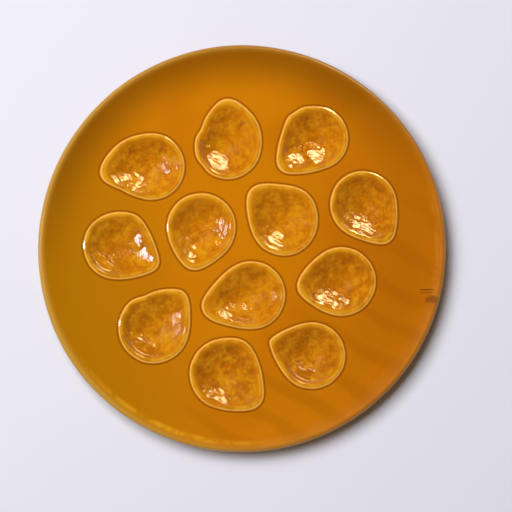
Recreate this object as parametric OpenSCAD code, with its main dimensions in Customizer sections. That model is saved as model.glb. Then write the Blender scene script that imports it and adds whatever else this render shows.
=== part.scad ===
// Oyster plate: a round earthenware plate with oyster wells pressed into its face, under a honey glaze.
// Sizes are in millimetres. The foot ring stands on z = 0, and +Z points out of the face.

/* [Wells] */
// Distance between neighbouring wells, centre to centre, along either ring
well_pitch = 75; // [74:0.5:90]
// Depth of a well below the floor of the plate
well_depth = 10; // [7:0.5:14]
// Thickness of the bottom of a well, glazed on both sides
well_wall = 6; // [4:0.5:8]
// Width of the raised bead along the edge of a well
bead_w = 3; // [2.5:0.25:4]
// Height of the bead above the floor of the plate
bead_h = 1; // [0.6:0.1:2]

/* [Plate] */
// Thickness of the floor and the rim, glazed on both sides
plate_t = 7; // [5:0.5:9]
// Flat land between the outermost bead and the rise of the rim
floor_land = 3; // [1:0.5:12]
// Width of the rim, from the edge of the floor to the outside of the lip
rim_w = 31; // [24:0.5:45]
// Radius of the rise of the rim, seen in section
rim_curve_r = 112; // [80:1:140]

/* [Foot] */
// Room between the bottom of the wells and the surface that the plate stands on
foot_clear = 4; // [2:0.5:8]
// Step between the edge of the floor and the inside of the foot ring
foot_step = 1.5; // [1:0.5:4]
// Width of the foot ring at its root
foot_root_w = 8; // [6.5:0.5:11]
// Width of the bare tread that the plate stands on
tread_w = 5; // [3:0.5:6]
// Height of the bare clay above the tread
bare_h = 1.5; // [0.5:0.5:3]
// Radius of the hollow curve from the outside of the foot ring to the back of the rim
foot_fillet_r = 8; // [3:0.5:10]

/* [Glaze] */
// Thickness of the glaze
glaze_t = 0.5; // [0.3:0.05:0.7]

/* [Hidden] */

$fn = 96;
clay_colour = "#d9bd94";
glaze_colour = "#c87d14";

// How softly the outline of a well passes from one round end to the next
outline_ease = 2;
// Points round the face of a well, round its bulge on the underside, and for measuring its reach
well_points = 24;
bulge_points = 20;
reach_points = 72;
// Straight steps in each curve of the section
curve_steps = 8;
// How far a cutting or joining solid runs past the face that it works on
overrun = 1;

// Shape of a well in section. Hollow, deepest first: share of the outline and share of the depth.
hollow_levels = [[0.3, 1], [0.62, 0.85], [0.84, 0.5], [0.95, 0.18]];
// Bead, from its foot to its crest: shares of the bead's width outside the outline and of its height.
bead_levels = [[0.65, -0.5], [0.35, 0.65], [0.15, 1]];
// Inner edge of the bead: the same two shares, inside the outline.
bead_mouth = [0.25, 0.8];
// The slope of the bead draws the clay in by this share of the glaze's thickness.
bead_inset = 0.6;
// Bulge, lowest first: share of the outline and share of the rise to the underside of the floor.
bulge_levels = [[0.42, 0], [0.72, 0.22], [0.92, 0.6], [1.02, 1]];
// Share of the outline at the root of the bulge, inside the clay.
bulge_root = 1.04;

// The two rings of wells. A row is one well: its shift away from the ring, its turn along the ring,
// the radius of its round body, and the round ends that its outline is drawn taut around, each with
// its direction from the body, its reach and its radius.
outer_wells = [
    [7.5, 0, 30, [[-55, 30, 11.5]]],
    [11.5, -4, 28.5, [[-140, 32, 12], [139, 20, 12]]],
    [-15.5, -2, 30, [[90, 30, 13], [53, 18, 17]]],
    [1.5, -2, 30, [[-173, 35, 12], [158, 20, 17]]],
    [4.5, -1, 30, [[-26, 32.5, 9.5], [55, 18.5, 14]]],
    [-1.5, 2, 32, [[50, 32.5, 10]]],
    [5.5, 2, 31.5, [[-41, 29, 13.5], [58, 21, 13]]],
    [6.5, 3, 30, [[161, 36.5, 4]]],
    [-14.5, 1.5, 31, [[-172, 29, 11.5]]]
];
inner_wells = [
    [1.5, 2, 30, [[134, 29, 13.5], [58, 14, 19.5]]],
    [-1.5, 3, 31, [[-103, 28, 11.5]]],
    [0, 11, 30.5, [[-163, 33.5, 13]]]
];
outer_start = 20;
inner_start = 30;

// Radius of the ring that holds a number of wells at the pitch
function ring_r(count) = well_pitch / (2 * sin(180 / count));

// Centre of the body of a well
function centre_of(row, i, count, start) =
    let (r = ring_r(count) + row[0])
    let (a = start + i * 360 / count + row[1])
    [r * cos(a), r * sin(a)];

// A well as its centre and its round ends, the body among them, each end as [x, y, radius]
function well_of(row, i, count, start) =
    let (c = centre_of(row, i, count, start))
    [c, concat([[c.x, c.y, row[2]]],
        [for (e = row[3]) [c.x + e[1] * cos(e[0]), c.y + e[1] * sin(e[0]), e[2]]])];

function ring_of_wells(rows, start) =
    [for (i = [0 : len(rows) - 1]) well_of(rows[i], i, len(rows), start)];

wells = concat(ring_of_wells(outer_wells, outer_start), ring_of_wells(inner_wells, inner_start));

function sum(values) = values * [for (v = values) 1];

// How far a round end reaches towards direction a
function end_reach(end, a) = end.x * cos(a) + end.y * sin(a) + end[2];

// The point of a well's outline whose outward normal is a, with the outline grown by an amount
function outline_point(well, a, grow) =
    let (reaches = [for (e = well[1]) end_reach(e, a)])
    let (furthest = max(reaches))
    let (pulls = [for (r = reaches) exp((r - furthest) / outline_ease)])
    let (out = furthest + outline_ease * ln(sum(pulls)) + grow)
    let (along = pulls * [for (e = well[1]) e.y * cos(a) - e.x * sin(a)] / sum(pulls))
    [out * cos(a) - along * sin(a), out * sin(a) + along * cos(a)];

function outline(well, count, grow) =
    [for (i = [0 : count - 1]) outline_point(well, i * 360 / count, grow)];

// Heights and radii of the plate
floor_z = foot_clear + well_wall + well_depth;
under_z = floor_z - plate_t;
well_reach = max([for (w = wells) for (p = outline(w, reach_points, 0)) norm(p)]);
floor_r = well_reach + bead_w / 2 + floor_land;
plate_r = floor_r + rim_w;

// The rise of the rim turns about a point above the edge of the floor, up to the angle of the lip
rim_centre = [floor_r, floor_z + rim_curve_r];
lip_r = plate_t / 2;
lip_angle = asin((rim_w - lip_r) / (rim_curve_r + lip_r));
lip_centre = rim_centre + (rim_curve_r + lip_r) * [sin(lip_angle), -cos(lip_angle)];

// The foot ring
foot_in_r = floor_r + foot_step;
foot_out_r = foot_in_r + foot_root_w;
foot_mid_r = (foot_in_r + foot_out_r) / 2;
tread_in_r = foot_mid_r - tread_w / 2;
tread_out_r = foot_mid_r + tread_w / 2;

// The hollow curve touches the outside of the foot ring and the back of the rim
fillet_turn = asin((foot_out_r + foot_fillet_r - floor_r) / (rim_curve_r + plate_t + foot_fillet_r));
fillet_centre = rim_centre + (rim_curve_r + plate_t + foot_fillet_r) * [sin(fillet_turn), -cos(fillet_turn)];

// A curve of the section: points round a centre from one direction to another
function arc(centre, r, from, to) =
    [for (i = [0 : curve_steps])
        let (a = from + (to - from) * i / curve_steps)
        centre + r * [cos(a), sin(a)]];

// Parts of the section at a depth under the glazed surface: the clay's surface is one glaze under it
function lip_top(depth) = arc(lip_centre, lip_r - depth, 0, 90 + lip_angle);
function lip_bottom(depth) = arc(lip_centre, lip_r - depth, lip_angle - 90, 0);
function rim_face(depth) = arc(rim_centre, rim_curve_r + depth, lip_angle - 90, -90);
// Face of the plate from the seam on the lip to the middle of the floor
function face_curve(depth) =
    concat(lip_top(depth), without_first(rim_face(depth)), [[0, floor_z - depth]]);
function rim_back(depth) = arc(rim_centre, rim_curve_r + plate_t - depth, fillet_turn - 90, lip_angle - 90);
function foot_fillet(depth) = arc(fillet_centre, foot_fillet_r + depth, 180, 90 + fillet_turn);
// Back of the plate from the outside of the foot ring to the seam on the lip
function back_curve(depth) =
    concat(foot_fillet(depth), without_first(rim_back(depth)), without_first(lip_bottom(depth)));

// Radius of the clay sides of the foot ring at a height
function foot_side_in(z) =
    tread_in_r + (foot_in_r + glaze_t - tread_in_r) * z / (under_z + glaze_t);
function foot_side_out(z) =
    tread_out_r + (foot_out_r - glaze_t - tread_out_r) * z / fillet_centre.y;

function reversed(list) = [for (i = [len(list) - 1 : -1 : 0]) list[i]];
function without_first(list) = [for (i = [1 : len(list) - 1]) list[i]];

// One level of a well: its outline grown by an amount, then drawn in to a share of its size
function level(well, count, share, grow, z) =
    [for (p = outline(well, count, grow))
        let (q = well[0] + share * (p - well[0]))
        [q.x, q.y, z]];

// Solid through a stack of levels, lowest first
module stack(levels) {
    count = len(levels[0]);
    top = len(levels) - 1;
    sides = [for (k = [0 : top - 1]) for (i = [0 : count - 1])
        let (a = k * count + i)
        let (b = k * count + (i + 1) % count)
        each [[a, a + count, b + count], [a, b + count, b]]];
    caps = [[for (i = [0 : count - 1]) i], [for (i = [count - 1 : -1 : 0]) top * count + i]];
    polyhedron([for (l = levels) each l], concat(sides, caps));
}

// Hollow of a well, at a depth under the glazed surface
module well_hollow(well, depth) {
    mouth = depth - bead_mouth[0] * bead_w;
    mouth_z = floor_z + bead_mouth[1] * bead_h - depth;
    stack(concat(
        [for (l = hollow_levels) level(well, well_points, l[0], depth, floor_z - l[1] * well_depth - depth)],
        [for (z = [mouth_z, floor_z + bead_h + overrun]) level(well, well_points, 1, mouth, z)]));
}

// Raised bead round a well, filled in the middle
module well_bead(well, depth) {
    stack([for (l = bead_levels)
        level(well, well_points, 1, l[0] * bead_w - bead_inset * depth, floor_z + l[1] * bead_h - depth)]);
}

// Bulge of a well on the underside
module well_bulge(well, depth) {
    rise = under_z - foot_clear;
    root_z = under_z + glaze_t + overrun;
    stack(concat(
        [for (l = bulge_levels) level(well, bulge_points, l[0], -depth, foot_clear + depth + l[1] * rise)],
        [level(well, bulge_points, bulge_root, -depth, root_z)]));
}

// Plate turned from a section, with the beads and any further solids added and the wells sunk into it
module worked_face(section, depth) {
    difference() {
        union() {
            rotate_extrude() polygon(section);
            for (w = wells) well_bead(w, depth);
            children();
        }
        for (w = wells) well_hollow(w, depth);
    }
}

module clay_body() {
    clay_z = under_z + glaze_t;
    section = concat(
        [[0, clay_z], [foot_in_r + glaze_t, clay_z], [tread_in_r, 0], [tread_out_r, 0]],
        back_curve(glaze_t), without_first(face_curve(glaze_t)));
    color(clay_colour)
        worked_face(section, glaze_t)
            for (w = wells) well_bulge(w, glaze_t);
}

module face_glaze() {
    base_z = floor_z - well_depth - well_wall / 2;
    clay_z = base_z - overrun;
    glazed = concat([[0, base_z], [lip_centre.x, base_z], lip_centre], face_curve(0));
    clay = concat([[0, clay_z], [plate_r - glaze_t, clay_z]], face_curve(glaze_t));
    color(glaze_colour)
        difference() {
            worked_face(glazed, 0);
            worked_face(clay, glaze_t);
        }
}

module back_rim_glaze() {
    edge_r = foot_side_out(bare_h);
    color(glaze_colour)
        rotate_extrude()
            polygon(concat(
                [[edge_r, bare_h], [edge_r + glaze_t, bare_h]],
                back_curve(0), reversed(back_curve(glaze_t))));
}

module back_centre_glaze() {
    clay_z = under_z + glaze_t;
    edge_z = bare_h - overrun;
    color(glaze_colour)
        difference() {
            union() {
                rotate_extrude()
                    polygon([
                        [0, under_z], [foot_side_in(under_z) - glaze_t, under_z],
                        [foot_side_in(bare_h) - glaze_t, bare_h], [foot_mid_r, bare_h],
                        [foot_mid_r, clay_z + overrun], [0, clay_z + overrun]]);
                for (w = wells) well_bulge(w, 0);
            }
            rotate_extrude()
                polygon([
                    [0, clay_z], [foot_in_r + glaze_t, clay_z], [foot_side_in(edge_z), edge_z],
                    [foot_out_r, edge_z], [foot_out_r, clay_z + 2 * overrun], [0, clay_z + 2 * overrun]]);
            for (w = wells) well_bulge(w, glaze_t);
        }
}

clay_body();
face_glaze();
back_rim_glaze();
back_centre_glaze();
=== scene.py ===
"""Looks of the oyster plate: a round earthenware plate with twelve shell-shaped wells under a honey glaze.

Everything is in metres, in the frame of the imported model: the plate stands on the tread of its foot ring at z = 0,
and +Z points up out of its face.
"""

from __future__ import annotations

import logging
import math
from dataclasses import dataclass, field
from enum import Enum
from typing import Any, Callable, Iterable, Sequence, Union

import bpy
import numpy as np
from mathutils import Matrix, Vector, noise
from mathutils.geometry import delaunay_2d_cdt


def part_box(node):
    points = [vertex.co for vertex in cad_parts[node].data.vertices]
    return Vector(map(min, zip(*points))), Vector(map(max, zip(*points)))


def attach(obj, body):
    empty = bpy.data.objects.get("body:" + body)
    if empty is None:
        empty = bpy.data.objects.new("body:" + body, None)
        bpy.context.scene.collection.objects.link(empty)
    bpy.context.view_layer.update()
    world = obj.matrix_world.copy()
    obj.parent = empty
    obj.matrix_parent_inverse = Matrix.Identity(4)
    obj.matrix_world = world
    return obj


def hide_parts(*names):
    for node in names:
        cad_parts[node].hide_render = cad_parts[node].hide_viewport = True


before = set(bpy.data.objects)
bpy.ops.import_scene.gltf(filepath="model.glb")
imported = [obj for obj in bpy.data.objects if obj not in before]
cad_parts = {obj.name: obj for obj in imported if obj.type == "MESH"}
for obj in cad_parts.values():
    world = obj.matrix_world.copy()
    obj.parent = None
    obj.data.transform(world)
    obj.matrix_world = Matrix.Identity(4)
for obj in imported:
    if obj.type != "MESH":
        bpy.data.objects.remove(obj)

log = logging.getLogger("oyster_plate")

MM = 0.001
TURN = 2 * math.pi
QUARTER = math.pi / 2
NOISE_PITCH = 0.62
RIM_POINTS = 360
BODY = "root"

Tint = tuple[int, int, int]
Span = tuple[float, float]


class Mark(Enum):
    """What each vertex of the plate tells the finishes about the glaze that lies there; on the rim and in the
    grooves the glaze marks also carry painted shade and painted reflection.
    """

    POOL = "glaze_pool"
    FLOOR = "well_floor"
    LUMP = "floor_lump"


class Layer(Enum):
    """Which pattern of uneven waves is read, so that no two things on the plate wave together."""

    EDGE = 2.3
    FLOOR = 4.1
    RIM_LINE = 5.5
    WARP = 7.7
    CENTRE_LINE = 9.5
    OUTLINE = 11.3
    DIMPLE = 21.7
    PIT = 35.2
    RIPPLE_BEND = 48.4
    RIPPLE_PATCH = 61.9
    FACET_EDGE = 73.1


def paint(tint: Tint) -> tuple[float, float, float, float]:
    """Turns a colour as it looks on a screen, 0 to 255, into the linear colour that a shader takes.

    Args:
        tint: Red, green and blue, 0 to 255.

    Returns:
        The linear colour with an alpha of 1.
    """
    shares = (channel / 255 for channel in tint)
    red, green, blue = (s / 12.92 if s <= 0.04045 else ((s + 0.055) / 1.055) ** 2.4 for s in shares)
    return (red, green, blue, 1.0)


def eased(values: np.ndarray, start: float, end: float) -> np.ndarray:
    """Passes smoothly from 0 at start to 1 at end."""
    share = np.clip((values - start) / (end - start), 0.0, 1.0)
    return share * share * (3 - 2 * share)


def hill(values: np.ndarray, middle: float, spread: float) -> np.ndarray:
    """A smooth hill of height 1 about a middle, with its spread to each side."""
    return np.exp(-(((values - middle) / spread) ** 2))


def waves(points: np.ndarray, length: float, layer: float) -> np.ndarray:
    """Uneven waves over the plate, about -1 to 1.

    Args:
        points: Places, one row each, of which x and y count.
        length: Rough distance from crest to crest.
        layer: Sets one pattern of waves apart from another.

    Returns:
        The height of the waves at each place.
    """
    return np.array([noise.noise((x / length, y / length, layer)) for x, y in points[:, :2] / NOISE_PITCH])


def softened(read: Callable[[Any], Any], at: Any, width: float) -> Any:
    """Reads a curve with its corners rounded off.

    Args:
        read: Gives the height of the sharp curve.
        at: Where to read it.
        width: How far the rounding reaches.

    Returns:
        The mean of the heights around each place, of which the nearest count most.
    """
    steps = np.linspace(-2, 2, 9)
    weights = np.exp(-steps ** 2 / 2)
    return sum(w * read(at + s * width) for s, w in zip(steps, weights)) / weights.sum()


def turns(count: int) -> np.ndarray:
    """Angles at even steps all the way round, in radians."""
    return np.linspace(0, TURN, count, endpoint=False)


def ways(angles: np.ndarray) -> np.ndarray:
    """Directions of angles, one row each."""
    return np.column_stack([np.cos(angles), np.sin(angles)])


def way(angle: float) -> np.ndarray:
    """Direction of one angle."""
    return np.array([math.cos(angle), math.sin(angle)])


def aside(angles: np.ndarray, middle: float) -> np.ndarray:
    """How far angles lie from a middle, the short way round."""
    return np.abs((angles - middle + math.pi) % TURN - math.pi)


def outward(outline: np.ndarray) -> np.ndarray:
    """Outward directions along a closed outline."""
    step = np.roll(outline, -1, axis=0) - np.roll(outline, 1, axis=0)
    return np.column_stack([step[:, 1], -step[:, 0]]) / np.hypot(step[:, 0], step[:, 1])[:, None]


def even_steps(outline: np.ndarray, count: int) -> np.ndarray:
    """Points at even steps along a closed outline.

    Args:
        outline: Points of the outline in order.
        count: How many points are wanted.

    Returns:
        The new points, of which the first is the outline's first.
    """
    closed = np.vstack([outline, outline[:1]])
    along = np.concatenate([[0.0], np.cumsum(np.hypot(*np.diff(closed, axis=0).T))])
    stops = np.arange(count) * along[-1] / count
    return np.column_stack([np.interp(stops, along, closed[:, k]) for k in (0, 1)])


def inside(points: np.ndarray, outline: np.ndarray) -> np.ndarray:
    """Tells which points lie inside a closed outline.

    Args:
        points: The points, of which x and y count.
        outline: Points of the outline in order.

    Returns:
        True for each point inside.
    """
    within = np.zeros(len(points), dtype=bool)
    low, high = outline.min(axis=0), outline.max(axis=0)
    near = np.all((points[:, :2] >= low) & (points[:, :2] <= high), axis=1)
    x, y = points[near, 0], points[near, 1]
    odd = np.zeros(len(x), dtype=bool)
    for (x0, y0), (x1, y1) in zip(outline, np.roll(outline, -1, axis=0)):
        crosses = (y0 > y) != (y1 > y)
        rise = y1 - y0 if y1 != y0 else 1e-12
        odd ^= crosses & (x < x0 + (y - y0) * (x1 - x0) / rise)
    within[near] = odd
    return within


def grid(low: Iterable[float], high: Iterable[float], step: float) -> np.ndarray:
    """Points in a honeycomb over a rectangle.

    Args:
        low: Its lowest corner.
        high: Its highest corner.
        step: Distance between neighbours.

    Returns:
        The points, one row each.
    """
    (x0, y0), (x1, y1) = low, high
    rows = np.arange(y0, y1, step * math.sqrt(3) / 2)
    across = np.arange(x0, x1, step)
    points = [np.column_stack([across + (step / 2 if i % 2 else 0), np.full(len(across), y)])
              for i, y in enumerate(rows)]
    return np.vstack(points)


@dataclass(frozen=True)
class PlateSection:
    """Heights and radii of the plate in section, the same as in the solids."""

    plate_r: float
    floor_z: float
    well_depth: float = 10 * MM
    plate_t: float = 7 * MM
    rim_w: float = 31 * MM
    rim_curve_r: float = 112 * MM
    foot_clear: float = 4 * MM
    foot_step: float = 1.5 * MM
    foot_root_w: float = 8 * MM
    tread_w: float = 5 * MM
    bare_h: float = 1.5 * MM
    foot_fillet_r: float = 8 * MM
    fillet_steps: int = 8
    corner_r: float = 1.5 * MM
    tread_round: float = 0.6 * MM
    glaze_t: float = 0.5 * MM

    @classmethod
    def from_frame(cls) -> PlateSection:
        """Takes the plate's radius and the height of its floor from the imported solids."""
        low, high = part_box("face_glaze")
        return cls(plate_r=high[0], floor_z=low[2] + cls.well_depth + cls.glaze_t)

    @property
    def floor_r(self) -> float:
        """Radius at which the rim begins to rise."""
        return self.plate_r - self.rim_w

    @property
    def under_z(self) -> float:
        """Height of the underside of the floor."""
        return self.floor_z - self.plate_t

    @property
    def lip_r(self) -> float:
        """Radius of the rounded lip."""
        return self.plate_t / 2

    @property
    def lip_turn(self) -> float:
        """Angle of the rim at the lip, in radians."""
        return math.asin((self.rim_w - self.lip_r) / (self.rim_curve_r + self.lip_r))

    @property
    def rim_centre(self) -> np.ndarray:
        """Point in the section that the rise of the rim turns about."""
        return np.array([self.floor_r, self.floor_z + self.rim_curve_r])

    def _under_rim(self, turn: float, depth: float) -> np.ndarray:
        """Point in the section at an angle of the rim and a depth under its face."""
        return self.rim_centre + (self.rim_curve_r + depth) * np.array([math.sin(turn), -math.cos(turn)])

    @property
    def lip_centre(self) -> np.ndarray:
        """Middle of the rounded lip in the section."""
        return self._under_rim(self.lip_turn, self.lip_r)

    @property
    def foot_in_r(self) -> float:
        """Radius of the inside of the foot ring at its root."""
        return self.floor_r + self.foot_step

    @property
    def foot_out_r(self) -> float:
        """Radius of the outside of the foot ring at its root."""
        return self.foot_in_r + self.foot_root_w

    @property
    def tread_r(self) -> Span:
        """Inner and outer radius of the tread."""
        middle = (self.foot_in_r + self.foot_out_r) / 2
        return (middle - self.tread_w / 2, middle + self.tread_w / 2)

    @property
    def fillet_turn(self) -> float:
        """Angle of the rim where the hollow curve of the foot ring meets it, in radians."""
        across = self.foot_out_r + self.foot_fillet_r - self.floor_r
        return math.asin(across / (self.rim_curve_r + self.plate_t + self.foot_fillet_r))

    @property
    def fillet_centre(self) -> np.ndarray:
        """Middle of the hollow curve from the foot ring to the rim."""
        return self._under_rim(self.fillet_turn, self.plate_t + self.foot_fillet_r)

    @staticmethod
    def arc(centre: np.ndarray, radius: float, start: float, end: float, steps: int) -> np.ndarray:
        """A curve of the section round a centre.

        Args:
            centre: Radius and height of the centre.
            radius: Radius of the curve.
            start: Direction at which it starts, in radians.
            end: Direction at which it ends.
            steps: How many steps it has.

        Returns:
            The points of the curve, as radius and height.
        """
        return centre + radius * ways(np.linspace(start, end, steps + 1))

    def rim_face(self, depth: float, rise_steps: int, lip_steps: int) -> np.ndarray:
        """Face of the rim from the edge of the floor to the seam on the lip.

        Args:
            depth: How far under the glazed surface.
            rise_steps: Steps in the rise of the rim.
            lip_steps: Steps over the lip.

        Returns:
            The points, as radius and height.
        """
        rise_r = self.rim_curve_r + depth
        rise = self.arc(self.rim_centre, rise_r, -QUARTER, self.lip_turn - QUARTER, rise_steps)
        lip = self.arc(self.lip_centre, self.lip_r - depth, QUARTER + self.lip_turn, 0.0, lip_steps)
        return np.concatenate([rise, lip[1:]])

    def rim_back(self, depth: float, rise_steps: int, lip_steps: int) -> np.ndarray:
        """Back of the rim from the seam on the lip to the root of the foot ring.

        Args:
            depth: How far under the glazed surface.
            rise_steps: Steps in the back of the rim.
            lip_steps: Steps under the lip.

        Returns:
            The points, as radius and height.
        """
        end = self.lip_turn - QUARTER
        lip = self.arc(self.lip_centre, self.lip_r - depth, 0.0, end, lip_steps)
        back_r = self.rim_curve_r + self.plate_t - depth
        back = self.arc(self.rim_centre, back_r, end, self.fillet_turn - QUARTER, rise_steps)
        hollow_r = self.foot_fillet_r + depth
        hollow = self.arc(self.fillet_centre, hollow_r, QUARTER + self.fillet_turn, math.pi, self.fillet_steps)
        return np.concatenate([lip, back[1:], hollow[1:]])

    def foot_outside(self, height: Any) -> Any:
        """Radius of the clay outside of the foot ring at a height."""
        root = self.foot_out_r - self.glaze_t
        return self.tread_r[1] + (root - self.tread_r[1]) * height / self.fillet_centre[1]

    def foot_inside(self, height: Any) -> Any:
        """Radius of the clay inside of the foot ring at a height."""
        root = self.foot_in_r + self.glaze_t
        return self.tread_r[0] + (root - self.tread_r[0]) * height / (self.under_z + self.glaze_t)

    def foot_hollow(self, depth: float, steps: int) -> np.ndarray:
        """Rounded corner from the inside of the foot ring to the underside of the floor.

        Args:
            depth: How far under the glazed surface.
            steps: Steps in the corner.

        Returns:
            The points from the foot ring inwards, as radius and height.
        """
        radius = self.corner_r + depth
        top = self.under_z + depth
        side = self.foot_inside(top - radius) - self.glaze_t + depth
        return self.arc(np.array([side - radius, top - radius]), radius, 0.0, QUARTER, steps)


@dataclass(frozen=True)
class HandThrown:
    """The small unevenness of a plate that was shaped by hand."""

    swell_at: float = math.radians(211)
    swell_h: float = 1.1 * MM
    swell_spread: float = math.radians(30)
    edge_h: float = 0.3 * MM
    edge_length: float = 0.55
    edge_from: float = 2 * MM
    warp_h: float = 0.22 * MM
    warp_length: float = 0.8
    floor_h: float = 0.13 * MM
    floor_length: float = 46 * MM
    floor_calm: Span = (14 * MM, 1 * MM)

    def edge(self, points: np.ndarray, section: PlateSection) -> np.ndarray:
        """Moves points of the rim out and up where the plate isn't quite round and flat.

        Args:
            points: Points of a perfect plate.
            section: The plate's section.

        Returns:
            The points with the unevenness of the rim.
        """
        radius = np.hypot(points[:, 0], points[:, 1])
        turn = np.arctan2(points[:, 1], points[:, 0])
        out_way = ways(turn)
        out = self.swell_h * hill(aside(turn, self.swell_at), 0.0, self.swell_spread)
        out = out + self.edge_h * waves(out_way, self.edge_length, Layer.EDGE.value)
        share = eased(radius, section.foot_out_r + self.edge_from, section.plate_r)
        moved = points.copy()
        moved[:, :2] += out_way * (share * out)[:, None]
        moved[:, 2] += share * self.warp_h * waves(out_way, self.warp_length, Layer.WARP.value)
        return moved

    def floor(self, points: np.ndarray, section: PlateSection) -> np.ndarray:
        """Height of the soft waves of the floor.

        Args:
            points: Places on the floor.
            section: The plate's section.

        Returns:
            How far each place stands above a flat floor.
        """
        radius = np.hypot(points[:, 0], points[:, 1])
        start, end = (section.floor_r - inset for inset in self.floor_calm)
        return self.floor_h * (1 - eased(radius, start, end)) * waves(points, self.floor_length, Layer.FLOOR.value)


@dataclass(frozen=True)
class RoundEnd:
    """A round end that a well's outline is drawn taut around: direction in degrees, reach and radius in mm."""

    direction: float
    reach: float
    radius: float


@dataclass(frozen=True)
class Dent:
    """A shallow dent in a well's outline: direction from the body in degrees, depth in mm, spread in degrees."""

    direction: float
    depth: float
    spread: float


@dataclass(frozen=True)
class Facet:
    """A flatter patch in a well's bowl: its place from the body's centre and its reach, in mm, and how it rises.

    It rises towards a direction at an angle, both in degrees.
    """

    x: float
    y: float
    reach: float
    towards: float
    slope: float


@dataclass(frozen=True)
class WellPlan:
    """Plan of one well: its shift off the ring in mm, its turn along the ring in degrees, its body's radius in mm.

    Then come the round ends and dents of its outline, and the facets of its bowl.
    """

    shift: float
    turn: float
    body_r: float
    ends: tuple[RoundEnd, ...]
    dents: tuple[Dent, ...]
    facets: tuple[Facet, ...]


@dataclass(frozen=True)
class WellRing:
    """A ring of wells, a pitch apart, that starts at an angle in degrees."""

    start: float
    plans: tuple[WellPlan, ...]
    pitch: float = 75 * MM

    def wells(self, seed: float) -> list[OysterWell]:
        """Places the wells of the ring.

        Args:
            seed: Sets the unevenness of this ring's wells apart.

        Returns:
            The wells in order round the ring.
        """
        count = len(self.plans)
        radius = self.pitch / (2 * math.sin(math.pi / count))
        placed = []
        for i, plan in enumerate(self.plans):
            angle = math.radians(self.start + 360 * i / count + plan.turn)
            placed.append(OysterWell(plan, (radius + plan.shift * MM) * way(angle), seed + i))
        return placed


OUTER_RING = WellRing(20, (
    WellPlan(7.5, 0, 30, (RoundEnd(-55, 30, 11.5),), (), (Facet(2, -22, 6, -110, 25.5),)),
    WellPlan(11.5, -4, 28.5, (RoundEnd(-140, 32, 12), RoundEnd(139, 20, 12)), (Dent(131, 1.1, 11),),
             (Facet(3, -17, 8, -115, 24), Facet(-20, -17, 5.5, -117, 24.5))),
    WellPlan(-15.5, -2, 30, (RoundEnd(90, 30, 13), RoundEnd(53, 18, 17)), (Dent(148, 1.9, 13), Dent(219, 1.0, 10)),
             (Facet(-12, -14, 9.3, -123, 25.5), Facet(17, 13, 4, 13, 28))),
    WellPlan(1.5, -2, 30, (RoundEnd(-173, 35, 12), RoundEnd(158, 20, 17)), (Dent(216, 0.9, 13),),
             (Facet(-35, -12, 4, -129, 27), Facet(-21, -9, 3, -128, 27), Facet(13, 1, 6, 11, 24.5),
              Facet(24.5, 3, 3, 11, 25))),
    WellPlan(4.5, -1, 30, (RoundEnd(-26, 32.5, 9.5), RoundEnd(55, 18.5, 14)), (),
             (Facet(25, -7.5, 4.2, -3, 23.5), Facet(31.5, -13, 4, -3, 23.5), Facet(19.5, 5.5, 3.6, 0, 23),
              Facet(-14, -17, 8, -125, 17))),
    WellPlan(-1.5, 2, 32, (RoundEnd(50, 32.5, 10),), (Dent(107, 2.0, 15),),
             (Facet(21, 7, 5, -12, 25), Facet(23, -5, 5, -14, 25), Facet(-12, -18, 8, -120, 17))),
    WellPlan(5.5, 2, 31.5, (RoundEnd(-41, 29, 13.5), RoundEnd(58, 21, 13)), (), (Facet(-2, -25, 4.5, -114, 30),)),
    WellPlan(6.5, 3, 30, (RoundEnd(161, 36.5, 4),), (), (Facet(-8, -18, 8, -112, 17),)),
    WellPlan(-14.5, 1.5, 31, (RoundEnd(-172, 29, 11.5),), (),
             (Facet(-17, -17, 4.5, -110, 27), Facet(3, -17, 3.5, -109, 27))),
))
INNER_RING = WellRing(30, (
    WellPlan(1.5, 2, 30, (RoundEnd(134, 29, 13.5), RoundEnd(58, 14, 19.5)), (), (Facet(-8, -17, 4.4, -116, 26.5),)),
    WellPlan(-1.5, 3, 31, (RoundEnd(-103, 28, 11.5),), (),
             (Facet(-10, -32, 4, -120, 27.5), Facet(20, -2.5, 6, 1, 26.5))),
    WellPlan(0, 11, 30.5, (RoundEnd(-163, 33.5, 13),), (), (Facet(-9, -17, 6, -113, 18),)),
))
INNER_SEED = 20.0


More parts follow.
